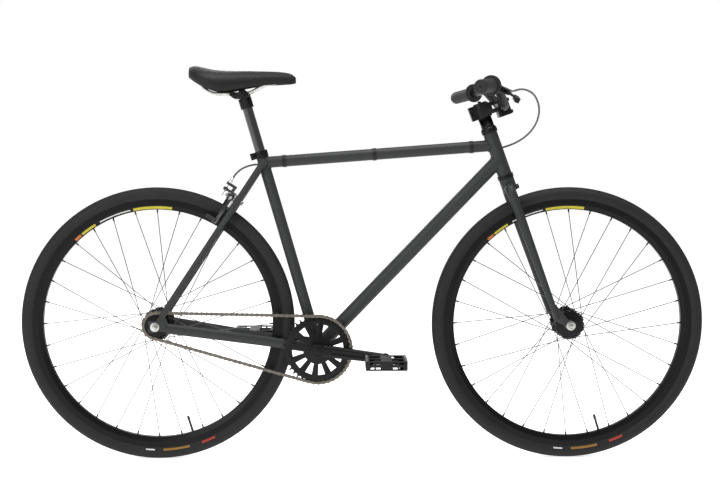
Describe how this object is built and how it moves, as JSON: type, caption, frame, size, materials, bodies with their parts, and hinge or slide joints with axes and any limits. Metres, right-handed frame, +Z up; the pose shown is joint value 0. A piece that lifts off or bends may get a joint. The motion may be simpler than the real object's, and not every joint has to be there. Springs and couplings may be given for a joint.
{
  "type": "fixed gear bicycle",
  "caption": "Fixed gear road bicycle with a steel diamond frame, riser handlebar, hand lever and rear caliper brake, high-flange spoked wheels and a chain drive without freewheel.",
  "frame": {"origin": "on the ground, half way between the wheel axles, in the bike's centre plane", "axes": "+X forward along the bike, +Y to the rider's left, +Z up; the chain is on the -Y side"},
  "size_m": [1.7319, 0.62, 0.9954],
  "materials": {
    "frame_paint": "matte charcoal paint",
    "black_alloy": "satin black anodised",
    "rim_black": "satin black anodised",
    "spoke_steel": "drawn stainless wire",
    "black_brass": "black plated",
    "tyre_rubber": "matte black with fine tread",
    "tube_rubber": "matte",
    "steel": "zinc plated",
    "bright_alloy": "polished",
    "chain_steel": "oiled brown-grey steel",
    "black_steel": "black coated",
    "black_plastic": "moulded",
    "housing_plastic": "smooth outer",
    "saddle_cover": "matte synthetic leather",
    "grip_rubber": "soft matte",
    "pad_rubber": "moulded"
  },
  "bodies": {
    "frame": {"head_tube": "frame_paint", "top_tube": "frame_paint", "down_tube": "frame_paint", "seat_tube": "frame_paint", "bottom_bracket_shell": "frame_paint", "chain_stays": "frame_paint", "seat_stays": "frame_paint", "stay_bridges": "frame_paint", "rear_dropouts": "frame_paint", "headset_cups": "black_alloy", "frame_bearings": "steel", "seat_clamp": "black_alloy", "brake_pivot": "steel", "rear_housing": "housing_plastic", "front_housing": "housing_plastic", "cable_clips": "black_plastic", "chain": "chain_steel", "rear_axle": "steel"},
    "seat": {"seat_post": "black_alloy", "saddle_clamp": "black_alloy", "saddle_rails": "steel", "saddle_base": "black_plastic", "saddle_cover": "saddle_cover"},
    "steering": {"fork_steerer": "frame_paint", "fork_blades": "frame_paint", "fork_dropouts": "frame_paint", "headset_spacers": "black_alloy", "stem_body": "black_alloy", "stem_faceplate": "black_alloy", "stem_bolts": "black_steel", "handlebar": "black_alloy", "grips": "grip_rubber", "lever_bracket": "black_alloy", "lever_adjuster": "bright_alloy", "front_axle": "steel"},
    "brake_lever": {"brake_lever": "black_alloy"},
    "front_wheel": {"front_tyre": "tyre_rubber", "front_inner_tube": "tube_rubber", "front_rim": "rim_black", "front_spokes": "spoke_steel", "front_nipples": "black_brass", "front_hub": "black_alloy"},
    "rear_wheel": {"rear_tyre": "tyre_rubber", "rear_inner_tube": "tube_rubber", "rear_rim": "rim_black", "rear_spokes": "spoke_steel", "rear_nipples": "black_brass", "rear_hub": "black_alloy", "rear_cog": "black_steel"},
    "cranks": {"crank_spindle": "black_steel", "crank_arms": "black_alloy", "chainring": "black_steel", "pedal_axles": "steel"},
    "right_pedal": {"right_pedal": "black_plastic"},
    "left_pedal": {"left_pedal": "black_plastic"},
    "left_brake_arm": {"left_brake_arm": "black_alloy", "brake_barrel": "bright_alloy", "left_brake_pad": "pad_rubber"},
    "right_brake_arm": {"right_brake_arm": "black_alloy", "right_brake_pad": "pad_rubber"}
  },
  "joints": [
    {"name": "seat_height", "type": "slide", "parent": "frame", "child": "seat", "axis": [-0.279, 0, 0.9603], "range_m": [-0.06, 0.05]},
    {"name": "steering", "type": "hinge", "parent": "frame", "child": "steering", "pos_m": [0.49811, 0, 0.33803], "axis": [-0.342, 0, 0.9397], "range_deg": [-90, 90], "deforming": ["front_housing"]},
    {"name": "front_wheel_spin", "type": "hinge", "parent": "steering", "child": "front_wheel", "pos_m": [0.52, 0, 0.346], "axis": [0, 1, 0], "continuous": true},
    {"name": "rear_wheel_spin", "type": "hinge", "parent": "frame", "child": "rear_wheel", "pos_m": [-0.52, 0, 0.346], "axis": [0, 1, 0], "continuous": true, "deforming": ["chain"]},
    {"name": "crank_spin", "type": "hinge", "parent": "frame", "child": "cranks", "pos_m": [-0.11517, 0, 0.285], "axis": [0, 1, 0], "continuous": true},
    {"name": "right_pedal_spin", "type": "hinge", "parent": "cranks", "child": "right_pedal", "pos_m": [0.05368, -0.12785, 0.26528], "axis": [0, 1, 0], "continuous": true},
    {"name": "left_pedal_spin", "type": "hinge", "parent": "cranks", "child": "left_pedal", "pos_m": [-0.28402, 0.12785, 0.30472], "axis": [0, 1, 0], "continuous": true},
    {"name": "brake_lever_pull", "type": "hinge", "parent": "steering", "child": "brake_lever", "pos_m": [0.33997, -0.16575, 0.92406], "axis": [-0.4138, 0.2031, -0.8874], "range_deg": [0, 20], "stiffness_Nm_per_rad": 1.2, "springref_deg": -6.88},
    {"name": "left_brake_close", "type": "hinge", "parent": "frame", "child": "left_brake_arm", "pos_m": [-0.31551, 0, 0.65676], "axis": [-0.8354, 0, 0.5497], "range_deg": [0, 1.8]},
    {"name": "right_brake_close", "type": "hinge", "parent": "frame", "child": "right_brake_arm", "pos_m": [-0.31551, 0, 0.65676], "axis": [-0.8354, 0, 0.5497], "range_deg": [-1.8, 0]}
  ],
  "couplings": [
    {"joint": "crank_spin", "follows": "rear_wheel_spin", "ratio": 0.38095},
    {"joint": "left_brake_close", "follows": "brake_lever_pull", "ratio": 0.09},
    {"joint": "right_brake_close", "follows": "brake_lever_pull", "ratio": -0.09}
  ]
}
